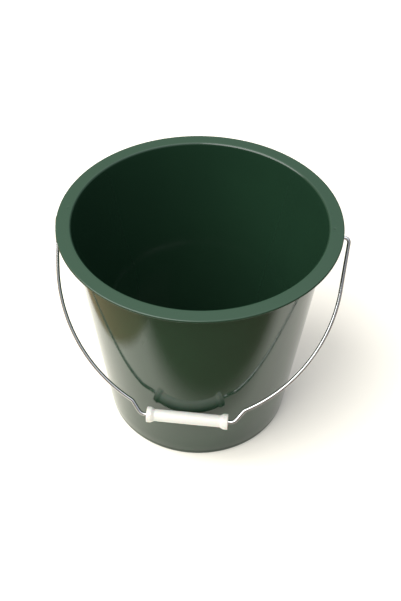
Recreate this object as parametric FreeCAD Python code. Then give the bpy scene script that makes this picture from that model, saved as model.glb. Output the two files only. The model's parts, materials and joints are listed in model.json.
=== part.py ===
import FreeCAD, Part
import math
import os

from FreeCAD import Rotation, Vector

# Feed bucket of about twelve litres: a moulded shell with a wide flat rim and two ears under
# it, a bent wire bail that swings in the ears, and a loose hand grip threaded on the wire.
# Origin: centre of the foot, on the ground. +X runs along the bail's pivots, +Z is up, and the
# bail hangs down at -Y with its grip lying against the wall. All sizes are in millimetres.

# Shell
height = 271.0           # ground to the top of the rim
mouth_r = 138.2          # outer face of the wall, carried up to the top of the rim
base_r = 108.4           # outer face of the wall, carried down to the ground
wall_t = 1.5
floor_t = 2.4
floor_lift = 6.0         # underside of the floor above the ground
floor_corner = 6.0       # rounding where the wall meets the floor inside
rim_w = 14.7             # width of the flat rim outside the wall
rim_t = 2.8
rim_top_edge = 1.2
rim_low_edge = 0.8
rim_root = 2.0           # fillet under the rim
mouth_edge = 2.8         # rounding of the inner edge
foot_h = 6.5             # height of the foot band
foot_inset = 0.8         # step from the wall in to the foot band
foot_step = 0.7          # height over which it steps
foot_ring = 4.0          # radial thickness of the ring that stands on the ground
foot_round = 2.2
recess_round = 2.0
ring_edge = 0.7          # inner edge of the ring

# Bail wire
wire_d = 4.0
head_d = 6.8             # upset head on each end of the wire
head_t = 1.8
head_gap = 4.8           # head to the underside of the rim
bend_r = 5.0             # centre line of the bend outside each ear
leg_clear = 2.3          # leg of the bail to the edge of the rim
leg_lean = 4.1           # degrees that each leg leans inward, away from the ear
bail_reach = 59.3        # axis of the grip beyond the edge of the rim, with the bail swung out flat
crank_out = 55.0         # degrees, rise of the crank beside the grip
crank_back = 26.0        # degrees, turn back into the long bow
crank_run = 11.2
crank_grip_r = 9.0
crank_bow_r = 8.0

# Grip
grip_len = 90.0
grip_mid_d = 13.8        # at the parting line, drafted to both ends
grip_end_d = 13.4
collar_d = 17.6
collar_len = 5.0
collar_cone = 3.6
collar_edge = 0.7
bore_edge = 0.35
grip_bore_gap = 0.3      # radial, wire to bore
grip_float = 2.2         # end of the grip to the crank, each side
rest_gap = 0.35          # grip to wall where it lies

# Ears
ear_w = 18.0
ear_web_t = 3.2
ear_inset = 2.9          # outer face of the ear inside the edge of the rim
ear_cheek_t = 2.2
ear_skirt = 7.0          # ear below the bore
ear_round = 4.0
bore_gap = 0.3           # radial, wire to bore
throat_w = 3.4           # slot that the wire is snapped up through
head_play = 1.9          # head to the web of the ear

# Worked out
rim_r = mouth_r + rim_w
taper = (mouth_r - base_r) / height
taper_angle = math.atan(taper)
wall_across = wall_t / math.cos(taper_angle)
rim_under = height - rim_t
floor_top = floor_lift + floor_t
pivot_z = rim_under - head_d / 2 - head_gap
ear_face = rim_r - ear_inset
web_in = ear_face - ear_web_t
bail_half = rim_r + leg_clear + wire_d / 2
bail_drop = rim_r + bail_reach


def wall_outer(z):
    """Radius of the wall's outer face at height z."""
    return base_r + taper * z


def wall_inner(z):
    """Radius of the wall's inner face at height z."""
    return wall_outer(z) - wall_across


def rounded_outline(corners):
    """A closed wire in the XZ plane through corners of (x, z, radius), each rounded by an arc."""
    points = [Vector(x, 0, z) for x, z, _ in corners]
    edges = []
    ends = []
    for i, (_, _, radius) in enumerate(corners):
        here = points[i]
        back = (points[i - 1] - here).normalize()
        on = (points[(i + 1) % len(points)] - here).normalize()
        if not radius:
            ends.append((here, here))
            continue
        half = back.getAngle(on) / 2
        reach = radius / math.tan(half)
        middle = (back + on).normalize() * (radius / math.sin(half) - radius)
        first = here + back * reach
        last = here + on * reach
        edges.append(Part.Arc(first, here + middle, last).toShape())
        ends.append((first, last))
    for i, (_, leaving) in enumerate(ends):
        edges.append(Part.makeLine(leaving, ends[(i + 1) % len(ends)][0]))
    return Part.Wire(Part.__sortEdges__(edges))


def turned(corners):
    """The solid that an outline of (radius, z, rounding) sweeps round the Z axis."""
    return Part.Face(rounded_outline(corners)).revolve(Vector(), Vector(0, 0, 1), 360)


def box(x, y, z):
    """A box from three (low, high) pairs."""
    low = Vector(x[0], y[0], z[0])
    return Part.makeBox(x[1] - x[0], y[1] - y[0], z[1] - z[0], low)


def make_cup():
    """Tapered wall, floor, stepped foot and flat rim, as one turned body."""
    foot_outer = wall_outer(foot_h) - foot_inset
    foot_inner = foot_outer - foot_ring
    step_top = foot_h + foot_step
    return turned([
        (0, floor_lift, 0),
        (foot_inner, floor_lift, recess_round),
        (foot_inner, 0, ring_edge),
        (foot_outer, 0, foot_round),
        (foot_outer, foot_h, 0),
        (wall_outer(step_top), step_top, 0),
        (wall_outer(rim_under), rim_under, rim_root),
        (rim_r, rim_under, rim_low_edge),
        (rim_r, height, rim_top_edge),
        (wall_inner(height), height, mouth_edge),
        (wall_inner(floor_top), floor_top, floor_corner),
        (0, floor_top, 0),
    ])


def make_ear(side):
    """A hollow lug under the rim, open below: its web holds the wire, its pocket the head."""
    bore_r = wire_d / 2 + bore_gap
    low = pivot_z - bore_r - ear_skirt
    into_rim = rim_under + rim_t / 2
    start = wall_inner(low)
    block = box((start, ear_face), (-ear_w / 2, ear_w / 2), (low, into_rim))
    lower_edges = [
        edge for edge in block.Edges
        if abs(edge.BoundBox.ZMax - low) < 1e-6 and edge.BoundBox.XLength > 1
    ]
    block = block.makeFillet(ear_round, lower_edges)
    pocket_half = ear_w / 2 - ear_cheek_t
    pocket = box((start, web_in), (-pocket_half, pocket_half), (low - 1, rim_under))
    bore = Part.makeCylinder(bore_r, ear_face, Vector(0, 0, pivot_z), Vector(1, 0, 0))
    throat = box((web_in - 1, ear_face + 1), (-throat_w / 2, throat_w / 2), (low - 1, pivot_z))
    ear = block.cut(pocket).cut(bore).cut(throat)
    inside = Part.makeCone(wall_outer(0) - wall_t / 2, wall_outer(height) - wall_t / 2, height)
    ear = ear.cut(inside)
    if side < 0:
        ear = ear.mirror(Vector(), Vector(1, 0, 0))
    return ear


def make_shell():
    """The whole moulding."""
    shell = make_cup().fuse([make_ear(1), make_ear(-1)])
    return shell.removeSplitter()


def bail_moves():
    """Half of the bail's centre line from the middle of the grip outwards, as lines and arcs."""
    out = math.radians(crank_out)
    bow = out - math.radians(crank_back)
    leg = math.radians(90 - leg_lean)
    width = grip_len / 2 + grip_float + crank_grip_r * math.sin(out) + crank_run * math.cos(out)
    width += crank_bow_r * (math.sin(out) - math.sin(bow)) - bend_r * math.sin(leg)
    rise = crank_grip_r * (1 - math.cos(out)) + crank_run * math.sin(out)
    rise += crank_bow_r * (math.cos(bow) - math.cos(out)) + bend_r * (1 + math.cos(leg))
    # The long bow's radius and the straight leg's length fill what is left of width and rise.
    across = bail_half - bend_r - width
    down = bail_drop - rise
    bow_u = math.sin(leg) - math.sin(bow)
    bow_v = math.cos(bow) - math.cos(leg)
    det = bow_u * math.sin(leg) - bow_v * math.cos(leg)
    bow_r = (across * math.sin(leg) - down * math.cos(leg)) / det
    leg_len = (bow_u * down - bow_v * across) / det
    head_start = web_in - head_play - head_t
    print("bow radius %.2f, straight leg %.2f" % (bow_r, leg_len))
    return [
        ("line", grip_len / 2 + grip_float),
        ("arc", crank_grip_r, out),
        ("line", crank_run),
        ("arc", crank_bow_r, bow - out),
        ("arc", bow_r, leg - bow),
        ("line", leg_len),
        ("arc", bend_r, math.pi - leg),
        ("line", bail_half - bend_r - head_start),
    ]


def trace(moves, start):
    """Edges of a path in the XZ plane that sets out along +X from start; arcs turn up or down."""
    edges = []
    here = start
    heading = 0.0
    for move in moves:
        ahead = Vector(math.cos(heading), 0, math.sin(heading))
        if move[0] == "line":
            there = here + ahead * move[1]
            edges.append(Part.makeLine(here, there))
        else:
            radius, turn = move[1], move[2]
            left = Vector(-ahead.z, 0, ahead.x) * math.copysign(radius, turn)
            centre = here + left
            swing = Rotation(Vector(0, -1, 0), math.degrees(turn))
            half_swing = Rotation(Vector(0, -1, 0), math.degrees(turn) / 2)
            there = centre + swing.multVec(here - centre)
            middle = centre + half_swing.multVec(here - centre)
            edges.append(Part.Arc(here, middle, there).toShape())
            heading += turn
        here = there
    return edges


def rest_angle():
    """Angle of the hanging bail below the horizontal, where the grip lies on the wall."""
    along = math.cos(taper_angle) * wall_outer(pivot_z) + grip_mid_d / 2 + rest_gap
    return taper_angle + math.acos(along / bail_drop)


def hang(shape):
    """Swings a shape modelled straight below the pivots forward to where the bail rests."""
    hung = shape.copy()
    hung.rotate(Vector(0, 0, pivot_z), Vector(1, 0, 0), math.degrees(rest_angle()) - 90)
    return hung


def make_bail():
    """Round wire swept along its bent path, with an upset head on each end."""
    low = Vector(0, 0, pivot_z - bail_drop)
    half = Part.Wire(trace(bail_moves(), low))
    section = Part.Wire(Part.makeCircle(wire_d / 2, low, Vector(1, 0, 0)))
    wire = half.makePipeShell([section], True, False)
    head_start = web_in - head_play - head_t
    head = Part.makeCylinder(head_d / 2, head_t, Vector(head_start, 0, pivot_z), Vector(1, 0, 0))
    right = wire.fuse(head)
    left = right.mirror(Vector(), Vector(1, 0, 0))
    return hang(right.fuse(left).removeSplitter())


def make_grip():
    """A tube drafted both ways from its middle, with a collar at each end and a plain bore."""
    bore = wire_d / 2 + grip_bore_gap
    end = grip_len / 2
    neck = end - collar_len - collar_cone
    half = [
        (grip_end_d / 2, neck, 0.0),
        (collar_d / 2, end - collar_len, 0.0),
        (collar_d / 2, end, collar_edge),
        (bore, end, bore_edge),
    ]
    other_half = [(x, -z, radius) for x, z, radius in reversed(half)]
    grip = turned([(grip_mid_d / 2, 0, 0)] + half + other_half)
    grip.rotate(Vector(), Vector(0, 1, 0), 90)
    grip.translate(Vector(0, 0, pivot_z - bail_drop))
    return hang(grip)


def main():
    os.makedirs("parts", exist_ok=True)
    parts = {
        "bucket_shell": make_shell(),
        "bail_wire": make_bail(),
        "hand_grip": make_grip(),
    }
    for name, shape in parts.items():
        if len(shape.Solids) != 1 or not shape.isValid():
            raise ValueError(name + " is not one valid solid")
        shape.Solids[0].exportStep("parts/" + name + ".step")
        print(name, "%.1f cm3" % (shape.Volume / 1000))
    angle = rest_angle()
    forward = bail_drop * math.cos(angle)
    down = bail_drop * math.sin(angle)
    print("bail rests %.3f degrees below the horizontal" % math.degrees(angle))
    print("grip axis at y %.3f, z %.3f; pivots at z %.3f" % (-forward, pivot_z - down, pivot_z))


main()
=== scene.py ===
import json
import math

import bmesh
import bpy
from mathutils import Matrix, Vector


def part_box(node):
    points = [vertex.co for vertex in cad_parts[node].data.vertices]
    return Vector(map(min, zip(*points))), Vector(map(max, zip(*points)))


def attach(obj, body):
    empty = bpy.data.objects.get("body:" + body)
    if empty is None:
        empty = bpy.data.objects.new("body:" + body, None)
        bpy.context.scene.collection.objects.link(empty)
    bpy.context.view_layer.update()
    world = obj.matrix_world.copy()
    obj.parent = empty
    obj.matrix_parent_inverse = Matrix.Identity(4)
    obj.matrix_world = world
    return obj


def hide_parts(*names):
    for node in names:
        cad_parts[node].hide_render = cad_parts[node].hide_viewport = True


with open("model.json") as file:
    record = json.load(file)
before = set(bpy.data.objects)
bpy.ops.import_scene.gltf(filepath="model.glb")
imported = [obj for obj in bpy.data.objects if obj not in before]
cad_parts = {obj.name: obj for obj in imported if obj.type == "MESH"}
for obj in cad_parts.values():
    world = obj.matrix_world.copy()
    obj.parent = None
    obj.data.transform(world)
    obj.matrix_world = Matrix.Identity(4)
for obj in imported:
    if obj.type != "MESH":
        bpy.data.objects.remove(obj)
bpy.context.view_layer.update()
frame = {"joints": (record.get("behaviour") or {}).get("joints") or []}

# ---- Bucket shell -------------------------------------------------------------------------
# One injection moulding in dark green polypropylene: tapered wall, raised floor on a foot
# ring, wide flat rim and two hollow ears under the rim. It comes off a polished mould, so the
# wall is glossy, and the flat of the rim is a little duller.

MM = 0.001
shell_low, shell_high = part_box("bucket_shell")
RIM_R = shell_high.x
RIM_TOP = shell_high.z
RIM_WIDE = 14.7 * MM
RIM_THICK = 2.8 * MM
RIM_UNDER = RIM_TOP - RIM_THICK
MOUTH_R = RIM_R - RIM_WIDE
BASE_R = 108.4 * MM
WALL_THICK = 1.5 * MM
FLOOR_UNDER = 6.0 * MM
FLOOR_THICK = 2.4 * MM
FLOOR_TOP = FLOOR_UNDER + FLOOR_THICK
FOOT_HIGH = 6.5 * MM
FOOT_STEP = 0.7 * MM
FOOT_INSET = 0.8 * MM
FOOT_RING = 4.0 * MM
TAPER = (MOUTH_R - BASE_R) / RIM_TOP
TURNS = 480
WALL_STEP = 12 * MM
RIM_STEP = 0.8 * MM
SHARP_ANGLE = 40


def wall_outer(z):
    """Radius of the wall's outer face at height z."""
    return BASE_R + TAPER * z


def wall_inner(z):
    """Radius of the wall's inner face at height z."""
    return wall_outer(z) - WALL_THICK * math.hypot(1, TAPER)


def rounded(corners, closed, longest):
    """Points along an outline of (radius, height, rounding, points in the rounding)."""
    spots = [Vector((x, z)) for x, z, _, _ in corners]
    line = []
    for i, (_, _, rounding, steps) in enumerate(corners):
        here = spots[i]
        if not rounding:
            line.append(here)
            continue
        back = (spots[i - 1] - here).normalized()
        on = (spots[(i + 1) % len(spots)] - here).normalized()
        half = back.angle(on) / 2
        centre = here + (back + on).normalized() * rounding / math.sin(half)
        first = here + back * rounding / math.tan(half) - centre
        last = here + on * rounding / math.tan(half) - centre
        turn = first.angle_signed(last)
        for k in range(steps + 1):
            line.append(centre + Matrix.Rotation(-turn * k / steps, 2) @ first)
    ends = line[1:] + line[:1] if closed else line[1:]
    points = []
    for start, end in zip(line, ends):
        pieces = max(1, math.ceil((end - start).length / longest))
        points += [start.lerp(end, k / pieces) for k in range(pieces)]
    return points if closed else points + line[-1:]


def turned(outline, turns, closed):
    """A body turned about Z. An open outline starts and ends on the axis."""
    body = bmesh.new()
    rings = []
    for x, z in outline:
        if x < 1e-9:
            rings.append([body.verts.new((0, 0, z))])
            continue
        angles = [2 * math.pi * k / turns for k in range(turns)]
        rings.append([body.verts.new((x * math.cos(a), x * math.sin(a), z)) for a in angles])
    for ring, following in zip(rings, rings[1:] + rings[:1] if closed else rings[1:]):
        for k in range(turns):
            loop = [ring[k % len(ring)], ring[(k + 1) % turns % len(ring)]]
            loop += [following[(k + 1) % turns % len(following)], following[k % len(following)]]
            body.faces.new(list(dict.fromkeys(loop)))
    bmesh.ops.recalc_face_normals(body, faces=body.faces)
    return body


def piece(name, body, sharp_angle):
    """Makes an object of a bmesh, smooth but for edges sharper than sharp_angle in degrees."""
    mesh = bpy.data.meshes.new(name)
    body.to_mesh(mesh)
    body.free()
    mesh.shade_smooth()
    mesh.set_sharp_from_angle(angle=math.radians(sharp_angle))
    made = bpy.data.objects.new(name, mesh)
    bpy.context.scene.collection.objects.link(made)
    return made


def carve(target, tool, operation):
    """Joins the tool to the target or cuts it away, and drops the tool."""
    change = target.modifiers.new("carve", "BOOLEAN")
    change.operation = operation
    change.solver = "EXACT"
    change.object = tool
    graph = bpy.context.evaluated_depsgraph_get()
    result = bpy.data.meshes.new_from_object(target.evaluated_get(graph))
    target.modifiers.clear()
    target.data = result
    bpy.data.objects.remove(tool)


def shell_outline():
    """From the middle of the underside, round the foot, up and over the rim, and back inside."""
    foot_outer = wall_outer(FOOT_HIGH) - FOOT_INSET
    foot_inner = foot_outer - FOOT_RING
    step_top = FOOT_HIGH + FOOT_STEP
    return rounded([
        (0, FLOOR_UNDER, 0, 0),
        (foot_inner, FLOOR_UNDER, 2.0 * MM, 6),
        (foot_inner, 0, 0.7 * MM, 3),
        (foot_outer, 0, 2.2 * MM, 8),
        (foot_outer, FOOT_HIGH, 0.3 * MM, 3),
        (wall_outer(step_top), step_top, 0.3 * MM, 3),
        (wall_outer(RIM_UNDER), RIM_UNDER, 2.0 * MM, 6),
        (RIM_R, RIM_UNDER, 0.8 * MM, 4),
        (RIM_R, RIM_TOP, 1.2 * MM, 6),
        (wall_inner(RIM_TOP), RIM_TOP, 2.8 * MM, 9),
        (wall_inner(FLOOR_TOP), FLOOR_TOP, 6.0 * MM, 10),
        (0, FLOOR_TOP, 0, 0),
    ], closed=False, longest=WALL_STEP)


# The ears: hollow lugs open below, so that the wire's head can be pushed up into the pocket
# while the wire snaps through the throat into its bore.
PIVOT = Vector(next(j["pos_m"] for j in frame["joints"] if j["name"] == "bail_swing"))
EAR_WIDE = 18.0 * MM
EAR_FACE = RIM_R - 2.9 * MM
EAR_WEB = 3.2 * MM
EAR_CHEEK = 2.2 * MM
EAR_ROUND = 4.0 * MM
EAR_EDGE = 0.5 * MM
EAR_ROOT = 1.3 * MM
EAR_TIP = 7.0 * MM
BORE_R = 2.3 * MM
EAR_LOW = PIVOT.z - BORE_R - EAR_TIP
POCKET_DEEP = 5 * MM
THROAT = 3.4 * MM
THROAT_LEAD = 1.0 * MM
SINK_DEEP = 0.35 * MM
SINK_WIDE = 1.6 * MM


def slab(outline, near, far):
    """A plate of an outline of (y, z), reaching along X from near(z) to far."""
    plate = bmesh.new()
    back = [plate.verts.new((near(z), y, z)) for y, z in outline]
    front = [plate.verts.new((far, y, z)) for y, z in outline]
    plate.faces.new(back)
    plate.faces.new(front)
    for k, corner in enumerate(back):
        plate.faces.new((corner, back[k - 1], front[k - 1], front[k]))
    bmesh.ops.recalc_face_normals(plate, faces=plate.faces)
    return plate


def ear_outline(half, low, rounding):
    """A tab of the ear's outline, square above and rounded below."""
    top = RIM_UNDER + RIM_THICK / 2
    corners = [
        (-half, top, 0, 0), (-half, low, rounding, 8),
        (half, low, rounding, 8), (half, top, 0, 0),
    ]
    return rounded(corners, closed=True, longest=1.0)


def keyhole_outline():
    """The bore, open downwards through a throat narrower than the wire, with a lead-in."""
    mouth = math.asin(THROAT / 2 / BORE_R)
    arc = [mouth + (2 * math.pi - 2 * mouth) * k / 28 for k in range(29)]
    ring = [(-BORE_R * math.sin(a), PIVOT.z - BORE_R * math.cos(a)) for a in arc]
    lead = EAR_LOW + 2 * THROAT_LEAD
    wide = THROAT / 2 + THROAT_LEAD
    below = EAR_LOW - MM
    return ring + [(THROAT / 2, lead), (wide, below), (-wide, below), (-THROAT / 2, lead)]


def make_ear(side):
    """One ear, reaching into the wall and the rim, to be joined to them."""
    tab = ear_outline(EAR_WIDE / 2, EAR_LOW, EAR_ROUND)
    lug = slab(tab, lambda z: wall_outer(z) - EAR_ROOT, EAR_FACE)
    outer = [e for e in lug.edges if all(v.co.x > EAR_FACE - MM / 2 for v in e.verts)]
    bmesh.ops.bevel(lug, geom=outer, offset=EAR_EDGE, segments=3, affect="EDGES", profile=0.5)
    ear = piece("ear", lug, SHARP_ANGLE)
    half = EAR_WIDE / 2 - EAR_CHEEK
    below = EAR_LOW - MM
    pocket = slab(
        [(-half, RIM_UNDER), (-half, below), (half, below), (half, RIM_UNDER)],
        lambda z: wall_outer(EAR_LOW) - POCKET_DEEP, EAR_FACE - EAR_WEB)
    carve(ear, piece("pocket", pocket, SHARP_ANGLE), "DIFFERENCE")
    keyhole = slab(keyhole_outline(), lambda z: EAR_FACE - 2 * EAR_WEB, EAR_FACE + MM)
    carve(ear, piece("keyhole", keyhole, SHARP_ANGLE), "DIFFERENCE")
    if side < 0:
        ear.data.transform(Matrix.Rotation(math.pi, 4, "Z"))
    return ear


def sink(body):
    """Presses a shallow sink mark into the top of the rim over the middle of each ear."""
    spot = Vector(((EAR_FACE - EAR_WEB + MOUTH_R) / 2, 0, 0))
    for vert in body.verts:
        if vert.co.z > RIM_TOP - 0.1 * MM:
            flat = Vector((abs(vert.co.x), vert.co.y, 0))
            vert.co.z -= SINK_DEEP * math.exp(-((flat - spot).length / SINK_WIDE) ** 2)


# The flat of the rim gets extra rings, fine enough to hold the sink marks.
outline = shell_outline()
fine_rim = []
for spot, following in zip(outline, outline[1:] + outline[-1:]):
    fine_rim.append(spot)
    on_top = spot.y > RIM_TOP - 1e-6 and following.y > RIM_TOP - 1e-6
    pieces = math.ceil((following - spot).length / RIM_STEP) if on_top else 1
    fine_rim += [spot.lerp(following, k / pieces) for k in range(1, pieces)]
cup = turned(fine_rim, TURNS, closed=False)
sink(cup)
shell = piece("bucket", cup, SHARP_ANGLE)
for side in (1, -1):
    carve(shell, make_ear(side), "UNION")
shell.data.shade_smooth()
shell.data.set_sharp_from_angle(angle=math.radians(SHARP_ANGLE))


def colour(code):
    """An sRGB hex value as linear colour."""
    parts = [int(code[i:i + 2], 16) / 255 for i in (1, 3, 5)]
    return [c / 12.92 if c <= 0.04045 else ((c + 0.055) / 1.055) ** 2.4 for c in parts] + [1.0]


def add(tree, kind, feeds=None, **settings):
    """Adds a node with its settings, and with a value or another node's output for each input."""
    made = tree.nodes.new("ShaderNode" + kind)
    for name, value in settings.items():
        setattr(made, name, value)
    for name, value in (feeds or {}).items():
        if isinstance(value, bpy.types.NodeSocket):
            tree.links.new(value, made.inputs[name])
        else:
            made.inputs[name].default_value = value
    return made


def new_material(name):
    """An empty material, with its node tree."""
    made = bpy.data.materials.new(name)
    made.use_nodes = True
    made.node_tree.nodes.clear()
    return made, made.node_tree


# Moulded polypropylene, pigmented right through: a glossy skin with the faint upright lines of
# the mould's polishing, which break up what it mirrors, and a satin flat on the rim.
GREEN = "#1C3424"
GREEN_DEEP = "#192F21"
# Painted light: the flat of the rim gets this lighter, greener base colour for the light its satin
# surface sends back; its pigment is the wall's.
RIM_GREEN_PAINTED_LIGHT = "#1D3927"
POLISH_LINE = 1.6 * MM
PEEL = 5.0 * MM
PIGMENT_CLOUD = 60 * MM
WALL_ROUGH = (0.07, 0.12)
RIM_ROUGH = 0.3
POLYPROPYLENE_IOR = 1.49
# Most of a noise's values lie between these two.
NOISE_LOW = 0.3
NOISE_HIGH = 0.7


def moulded_polypropylene():
    """The bucket's glossy green plastic, duller on the flat of the rim, where painted light gives it
    a lighter, greener base colour.
    """
    made, tree = new_material("moulded_polypropylene")
    place = add(tree, "TexCoord").outputs["Object"]
    along = add(tree, "Mapping", {"Vector": place, "Scale": (1, 1, 0.03)}).outputs["Vector"]
    lines = add(tree, "TexNoise", {"Vector": along, "Scale": 1 / POLISH_LINE, "Detail": 3.0})
    peel = add(tree, "TexNoise", {"Vector": place, "Scale": 1 / PEEL, "Detail": 2.0})
    cloud = add(tree, "TexNoise", {"Vector": place, "Scale": 1 / PIGMENT_CLOUD, "Detail": 4.0})
    tint = add(tree, "Mix", {
        0: cloud.outputs["Fac"], 6: colour(GREEN_DEEP), 7: colour(GREEN)}, data_type="RGBA")
    height = add(tree, "SeparateXYZ", {0: place}).outputs["Z"]
    on_rim = add(tree, "MapRange", {
        "Value": height, "From Min": RIM_TOP - 0.6 * MM, "From Max": RIM_TOP - 0.1 * MM})
    # Painted light on the flat of the rim: the base colour there is mixed to the lighter, greener rim
    # colour.
    tint_and_painted_rim_light = add(tree, "Mix", {
        0: on_rim.outputs[0], 6: tint.outputs[2], 7: colour(RIM_GREEN_PAINTED_LIGHT)}, data_type="RGBA")
    polish = add(tree, "MapRange", {
        "Value": lines.outputs["Fac"], "From Min": NOISE_LOW, "From Max": NOISE_HIGH,
        "To Min": WALL_ROUGH[0], "To Max": WALL_ROUGH[1]})
    rough = add(tree, "Mix", {
        0: on_rim.outputs["Result"], 2: polish.outputs["Result"], 3: RIM_ROUGH},
        data_type="FLOAT")
    relief = add(tree, "Math", {0: lines.outputs["Fac"], 1: peel.outputs["Fac"]}, operation="ADD")
    bump = add(tree, "Bump", {"Height": relief.outputs[0], "Strength": 0.04, "Distance": 0.3 * MM})
    skin = add(tree, "BsdfPrincipled", {
        "Base Color": tint_and_painted_rim_light.outputs[2], "Roughness": rough.outputs[0],
        "Normal": bump.outputs[0], "IOR": POLYPROPYLENE_IOR})
    add(tree, "OutputMaterial", {"Surface": skin.outputs[0]})
    return made


shell.data.materials.clear()
shell.data.materials.append(moulded_polypropylene())
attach(shell, "bucket")
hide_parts("bucket_shell")

# ---- Bail wire ----------------------------------------------------------------------------
# One length of 4 mm drawn steel wire, bright zinc plated after bending: a long bow, a crank
# each side of the grip, and an end turned in to each ear, where an upset head holds it.

WIRE_R = 2.0 * MM
HEAD_R = 3.4 * MM
HEAD_THICK = 1.8 * MM
HEAD_PLAY = 1.9 * MM
EAR_BEND = 5.0 * MM
GRIP_AXIS = Vector(next(j["pos_m"] for j in frame["joints"] if j["name"] == "grip_spin"))
GRIP_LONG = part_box("hand_grip")[1].x * 2
GRIP_FLOAT = 2.2 * MM
LEG_LEAN = math.radians(4.1)
CRANK_OUT = math.radians(55)
CRANK_BACK = math.radians(26)
CRANK_RUN = 11.2 * MM
CRANK_GRIP_BEND = 9.0 * MM
CRANK_BOW_BEND = 8.0 * MM
BAIL_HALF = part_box("bail_wire")[1].x - WIRE_R
BAIL_DROP = (GRIP_AXIS - PIVOT).length
WIRE_SIDES = 28
BEND_STEP = 0.8 * MM
RUN_STEP = 4 * MM
# The bail lies pushed over to +X, most of the way through its side play in the ears.
PUSHED = Vector((1.7 * MM, 0, 0))


def bail_line():
    """Half of the wire's centre line as (across, up from the grip), with small steps in bends."""
    bow = CRANK_OUT - CRANK_BACK
    leg = math.pi / 2 - LEG_LEAN
    # The long bow's radius and the straight leg fill the width and drop that the bends leave.
    width = GRIP_LONG / 2 + GRIP_FLOAT + CRANK_RUN * math.cos(CRANK_OUT)
    width += CRANK_GRIP_BEND * math.sin(CRANK_OUT) - EAR_BEND * math.sin(leg)
    width += CRANK_BOW_BEND * (math.sin(CRANK_OUT) - math.sin(bow))
    rise = CRANK_GRIP_BEND * (1 - math.cos(CRANK_OUT)) + CRANK_RUN * math.sin(CRANK_OUT)
    rise += CRANK_BOW_BEND * (math.cos(bow) - math.cos(CRANK_OUT)) + EAR_BEND * (1 + math.cos(leg))
    left = Vector((BAIL_HALF - EAR_BEND - width, BAIL_DROP - rise))
    bow_r, leg_long = Matrix((
        (math.sin(leg) - math.sin(bow), math.cos(leg)),
        (math.cos(bow) - math.cos(leg), math.sin(leg)),
    )).inverted() @ left
    to_head = BAIL_HALF - EAR_BEND - (EAR_FACE - EAR_WEB - HEAD_PLAY)
    moves = [
        (GRIP_LONG / 2 + GRIP_FLOAT, 0), (CRANK_GRIP_BEND, CRANK_OUT), (CRANK_RUN, 0),
        (CRANK_BOW_BEND, bow - CRANK_OUT), (bow_r, leg - bow), (leg_long, 0),
        (EAR_BEND, math.pi - leg), (to_head, 0),
    ]
    spots = [Vector((0, 0))]
    heading = 0.0
    for size, turn in moves:
        length = abs(turn) * size if turn else size
        steps = max(1, math.ceil(length / (BEND_STEP if turn else RUN_STEP)))
        for _ in range(steps):
            chord = 2 * size * math.sin(abs(turn) / steps / 2) if turn else size / steps
            heading += turn / steps / 2
            spots.append(spots[-1] + chord * Vector((math.cos(heading), math.sin(heading))))
            heading += turn / steps / 2
    return spots


def wire_along(line, radii, facing, sides):
    """A closed round tube along a flat line of points in space, with a radius at each point."""
    tube = bmesh.new()
    rings = []
    for k, spot in enumerate(line):
        ahead = (line[min(k + 1, len(line) - 1)] - line[max(k - 1, 0)]).normalized()
        across = facing.cross(ahead)
        ring = []
        for turn in (2 * math.pi * i / sides for i in range(sides)):
            outward = math.cos(turn) * facing + math.sin(turn) * across
            ring.append(tube.verts.new(spot + radii[k] * outward))
        rings.append(ring)
    for ring, following in zip(rings, rings[1:]):
        for i in range(sides):
            tube.faces.new((ring[i - 1], ring[i], following[i], following[i - 1]))
    tube.faces.new(rings[0])
    tube.faces.new(rings[-1])
    bmesh.ops.recalc_face_normals(tube, faces=tube.faces)
    return tube


def make_bail():
    """The whole wire, laid in the plane from the pivots to the grip's axis."""
    half = bail_line()
    up = (PIVOT - GRIP_AXIS).normalized()
    side = Vector((1, 0, 0))
    line = [GRIP_AXIS + side * x + up * z for x, z in half]
    inward = -side
    end = line[-1]
    radii = [WIRE_R] * len(line)
    # The head is upset cold: a short flare and a slightly domed disc.
    head = [(0.0, HEAD_R - 0.4 * MM), (0.25 * MM, HEAD_R), (HEAD_THICK - 0.5 * MM, HEAD_R)]
    head += [(HEAD_THICK - 0.15 * MM, HEAD_R - 0.45 * MM), (HEAD_THICK, HEAD_R - 1.3 * MM)]
    for depth, radius in head:
        line.append(end + inward * depth)
        radii.append(radius)
    mirrored = [Vector((-spot.x, spot.y, spot.z)) for spot in line[:0:-1]]
    whole = [spot + PUSHED for spot in mirrored + line]
    return wire_along(whole, radii[:0:-1] + radii, side.cross(up), WIRE_SIDES)


# Zinc plate over drawn steel: bright, with the drawing marks softened by the plating and a
# faint cloudiness where it has dulled.
ZINC = "#DADCDB"
ZINC_DULL = "#C0C3C3"
CLOUD = 7.0 * MM
DRAWN_GRAIN = 0.8 * MM
ZINC_ROUGH = (0.13, 0.06)


def bright_zinc_plate():
    """The wire's plating."""
    made, tree = new_material("bright_zinc_plate")
    place = add(tree, "TexCoord").outputs["Object"]
    cloud = add(tree, "TexNoise", {"Vector": place, "Scale": 1 / CLOUD, "Detail": 4.0})
    tint = add(tree, "Mix", {
        0: cloud.outputs["Fac"], 6: colour(ZINC_DULL), 7: colour(ZINC)}, data_type="RGBA")
    rough = add(tree, "MapRange", {
        "Value": cloud.outputs["Fac"], "From Min": NOISE_LOW, "From Max": NOISE_HIGH,
        "To Min": ZINC_ROUGH[0], "To Max": ZINC_ROUGH[1]})
    grain = add(tree, "TexNoise", {"Vector": place, "Scale": 1 / DRAWN_GRAIN, "Detail": 2.0})
    bump = add(tree, "Bump", {"Height": grain.outputs["Fac"], "Strength": 0.06, "Distance": 0.1 * MM})
    skin = add(tree, "BsdfPrincipled", {
        "Base Color": tint.outputs[2], "Metallic": 1.0, "Roughness": rough.outputs["Result"],
        "Normal": bump.outputs[0]})
    add(tree, "OutputMaterial", {"Surface": skin.outputs[0]})
    return made


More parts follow.
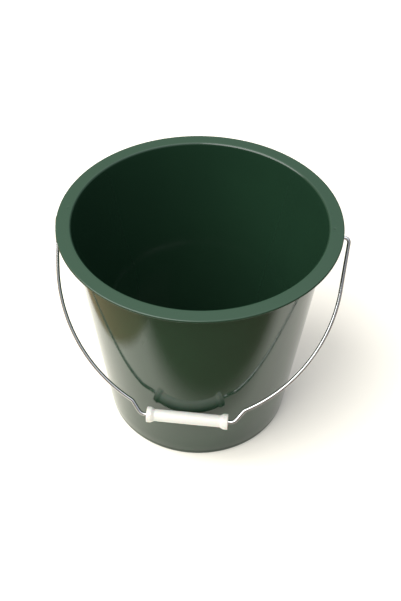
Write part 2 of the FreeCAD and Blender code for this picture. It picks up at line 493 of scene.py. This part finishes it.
bail = piece("bail", make_bail(), 50)
bail.data.materials.append(bright_zinc_plate())
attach(bail, "bail")
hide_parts("bail_wire")

# ---- Hand grip ----------------------------------------------------------------------------
# A thick white tube moulded in two halves of the die, threaded on the wire before the last
# bend: drafted both ways from a witness line round its middle, with a collar at each end.

GRIP_MID_R = 6.9 * MM
GRIP_END_R = 6.7 * MM
COLLAR_R = 8.8 * MM
COLLAR_LONG = 5.0 * MM
COLLAR_CONE = 3.6 * MM
GRIP_BORE_R = 2.3 * MM
GRIP_BORE_LEAD = 0.6 * MM
GRIP_TURNS = 96
WITNESS_HIGH = 0.12 * MM
PARTING_ANGLE = 0.02


def make_grip():
    """The grip, turned and then laid along X on the wire."""
    end = GRIP_LONG / 2
    neck = end - COLLAR_LONG - COLLAR_CONE
    shoulder = end - COLLAR_LONG
    half = [
        (GRIP_MID_R - 0.02 * MM, 0.5 * MM, 0.2 * MM, 2),
        (GRIP_END_R, neck, 2.0 * MM, 5),
        (COLLAR_R - 0.2 * MM, shoulder, 0.6 * MM, 4),
        (COLLAR_R, end, 0.7 * MM, 6),
        (GRIP_BORE_R + GRIP_BORE_LEAD, end, 0, 0),
        (GRIP_BORE_R, end - GRIP_BORE_LEAD, 0, 0),
    ]
    other = [(x, -z, rounding, steps) for x, z, rounding, steps in reversed(half)]
    witness = [(GRIP_MID_R + WITNESS_HIGH, 0, 0.1 * MM, 2)]
    outline = rounded(witness + half + other, closed=True, longest=3 * MM)
    body = turned(outline, GRIP_TURNS, closed=True)
    for vert in body.verts:
        # The die's parting line: a low ridge along both sides, which the draft fades into.
        away = abs(abs(math.atan2(vert.co.x, vert.co.y)) - math.pi / 2)
        radius = math.hypot(vert.co.x, vert.co.y)
        if radius > GRIP_BORE_R + MM and away < PARTING_ANGLE:
            vert.co.x *= 1 + WITNESS_HIGH / radius
            vert.co.y *= 1 + WITNESS_HIGH / radius
    laid = Matrix.Translation(GRIP_AXIS + PUSHED) @ Matrix.Rotation(math.pi / 2, 4, "Y")
    bmesh.ops.transform(body, matrix=laid, verts=body.verts)
    return body


# Natural white polyethylene, moulded against a lightly blasted die: satin, faintly waxy and
# a little see-through at thin edges.
WHITE = "#CFCFC9"
WHITE_WARM = "#C7C6BD"
BLAST = 0.7 * MM
WHITE_CLOUD = 15 * MM
GRIP_ROUGH = (0.3, 0.45)
POLYETHYLENE_IOR = 1.52


def moulded_polyethylene():
    """The grip's satin white plastic."""
    made, tree = new_material("moulded_polyethylene")
    place = add(tree, "TexCoord").outputs["Object"]
    cloud = add(tree, "TexNoise", {"Vector": place, "Scale": 1 / WHITE_CLOUD, "Detail": 3.0})
    tint = add(tree, "Mix", {
        0: cloud.outputs["Fac"], 6: colour(WHITE_WARM), 7: colour(WHITE)}, data_type="RGBA")
    blast = add(tree, "TexNoise", {"Vector": place, "Scale": 1 / BLAST, "Detail": 2.0})
    rough = add(tree, "MapRange", {
        "Value": blast.outputs["Fac"], "To Min": GRIP_ROUGH[0], "To Max": GRIP_ROUGH[1]})
    bump = add(tree, "Bump", {"Height": blast.outputs["Fac"], "Strength": 0.08, "Distance": 0.1 * MM})
    skin = add(tree, "BsdfPrincipled", {
        "Base Color": tint.outputs[2], "Roughness": rough.outputs["Result"],
        "Normal": bump.outputs[0], "IOR": POLYETHYLENE_IOR,
        "Subsurface Weight": 0.2, "Subsurface Scale": 1.5 * MM})
    add(tree, "OutputMaterial", {"Surface": skin.outputs[0]})
    return made


grip = piece("grip", make_grip(), 35)
grip.data.materials.append(moulded_polyethylene())
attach(grip, "grip")
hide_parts("hand_grip")

# ---- Floor, light and camera --------------------------------------------------------------
# Warm white paper under a soft overcast sky, brightest overhead, and a soft key high on the
# left. Brown boards lie on the paper on all four sides. Only glossy surfaces see them, so the
# wall and the wire mirror them, as they would the ground beyond a sheet of paper.

PAPER = "#EFEBDF"
GROUND = "#5A4237"
PATH = "#947D60"
PAPER_TURN = math.radians(16.5)
FLOOR_REACH = 12.0
PAPER_TOOTH = 400.0
FAR = 1.4
# The axis along which each board fades in, where it starts to show and where it is solid.
NEAR_FADE = ("Y", -0.130, -0.203)
LEFT_FADE = ("X", -0.205, -0.229)
RIGHT_FADE = ("X", 0.28, 0.33)
BACK_FADE = ("Y", 0.43, 0.53)
KEY_SPOT = (-1.20, -0.75, 2.0)
KEY_AIM = (0, 0, 0.15)
KEY_SIZE = 3.0
KEY_POWER = 105


def board(name, low, high, lift, soft, code):
    """A rectangle turned with the paper, at its own lift, that fades in along one axis."""
    sheet = bmesh.new()
    corners = [(low[0], low[1]), (high[0], low[1]), (high[0], high[1]), (low[0], high[1])]
    sheet.faces.new([sheet.verts.new((x, y, 0.0)) for x, y in corners])
    made = piece(name, sheet, SHARP_ANGLE)
    turn = Matrix.Rotation(PAPER_TURN, 4, "Z")
    made.matrix_world = Matrix.Translation((0, 0, lift)) @ turn
    surface, tree = new_material(name)
    place = add(tree, "SeparateXYZ", {0: add(tree, "TexCoord").outputs["Object"]})
    axis, start, end = soft
    fade = add(tree, "MapRange", {
        "Value": place.outputs[axis], "From Min": start, "From Max": end},
        interpolation_type="SMOOTHSTEP")
    skin = add(tree, "BsdfPrincipled", {
        "Base Color": colour(code), "Roughness": 0.9, "Specular IOR Level": 0.0,
        "Alpha": fade.outputs["Result"]})
    add(tree, "OutputMaterial", {"Surface": skin.outputs[0]})
    made.data.materials.append(surface)
    made.visible_camera = False
    made.visible_shadow = False
    made.visible_diffuse = False
    return made


def studio_floor():
    """A wide sheet of warm white paper."""
    sweep = bmesh.new()
    bmesh.ops.create_grid(sweep, x_segments=8, y_segments=8, size=FLOOR_REACH)
    floor = piece("floor", sweep, SHARP_ANGLE)
    made, tree = new_material("white_paper")
    place = add(tree, "TexCoord").outputs["Object"]
    tooth = add(tree, "TexNoise", {"Vector": place, "Scale": PAPER_TOOTH})
    bump = add(tree, "Bump", {"Height": tooth.outputs["Fac"], "Strength": 0.05, "Distance": 0.2 * MM})
    skin = add(tree, "BsdfPrincipled", {
        "Base Color": colour(PAPER), "Roughness": 0.9, "Normal": bump.outputs[0],
        "Specular IOR Level": 0.2})
    add(tree, "OutputMaterial", {"Surface": skin.outputs[0]})
    floor.data.materials.append(made)
    return floor


SKY_LOW = 0.25
SKY_HIGH = 2.4
SKY_CURVE = 3.0
SKY_LEFT = "#FFFAF0"
SKY_RIGHT = "#E4EAFA"
SKY_LEFT_LEVEL = 1.2
SKY_RIGHT_LEVEL = 0.9


def sky():
    """Light from all round: dim at the horizon, and a little warmer and brighter on the left."""
    world = bpy.data.worlds.new("studio_sky")
    world.use_nodes = True
    tree = world.node_tree
    tree.nodes.clear()
    where = add(tree, "SeparateXYZ", {0: add(tree, "TexCoord").outputs["Generated"]})
    side = add(tree, "MapRange", {"Value": where.outputs["X"], "From Min": -1.0, "From Max": 1.0})
    tint = add(tree, "Mix", {
        0: side.outputs["Result"], 6: colour(SKY_LEFT), 7: colour(SKY_RIGHT)}, data_type="RGBA")
    cube = add(tree, "Math", {0: where.outputs["Z"], 1: SKY_CURVE}, operation="POWER")
    high = add(tree, "MapRange", {"Value": cube.outputs[0], "To Min": SKY_LOW, "To Max": SKY_HIGH})
    dim = add(tree, "MapRange", {
        "Value": side.outputs["Result"], "To Min": SKY_LEFT_LEVEL, "To Max": SKY_RIGHT_LEVEL})
    level = add(tree, "Math", {
        0: high.outputs["Result"], 1: dim.outputs["Result"]}, operation="MULTIPLY")
    back = add(tree, "Background", {"Color": tint.outputs[2], "Strength": level.outputs[0]})
    add(tree, "OutputWorld", {"Surface": back.outputs[0]})
    bpy.context.scene.world = world


def softbox(name, spot, aim, size, power):
    """A round area light at a spot, turned to face another."""
    light = bpy.data.lights.new(name, "AREA")
    light.shape = "DISK"
    light.size = size
    light.energy = power
    made = bpy.data.objects.new(name, light)
    made.location = spot
    made.rotation_euler = (Vector(aim) - Vector(spot)).to_track_quat("-Z", "Y").to_euler()
    bpy.context.scene.collection.objects.link(made)


def camera():
    """Looks down at the front from a little to the right of the bail's plane."""
    azimuth = math.radians(-5.85)
    down = math.radians(44.65)
    roll = math.radians(0.81)
    aim = Vector((4.9, -31.6, 179.7)) * MM
    distance = 1.010
    flat = math.cos(down)
    ahead = Vector((math.sin(azimuth) * flat, math.cos(azimuth) * flat, -math.sin(down)))
    lens = bpy.data.cameras.new("camera")
    lens.sensor_width = 36.0
    lens.lens = 54.66
    made = bpy.data.objects.new("camera", lens)
    turn = ahead.to_track_quat("-Z", "Y").to_matrix().to_4x4()
    spot = Matrix.Translation(aim - ahead * distance)
    made.matrix_world = spot @ turn @ Matrix.Rotation(roll, 4, "Z")
    bpy.context.scene.collection.objects.link(made)
    bpy.context.scene.camera = made


studio_floor()
# Boards that overlap lie at different heights, so that no two share a plane.
board("ground", (-FAR, -FAR), (FAR, -0.13), 1.0 * MM, NEAR_FADE, GROUND)
board("path", (-FAR, -0.25), (-0.2, 1.0), 0.5 * MM, LEFT_FADE, PATH)
board("far_right", (0.27, -0.25), (FAR, FAR), 0.5 * MM, RIGHT_FADE, GROUND)
board("far_back", (-FAR, 0.42), (FAR, FAR), 0.25 * MM, BACK_FADE, GROUND)
sky()
softbox("key", KEY_SPOT, KEY_AIM, KEY_SIZE, KEY_POWER)
camera()
bpy.context.scene.view_settings.view_transform = "Standard"
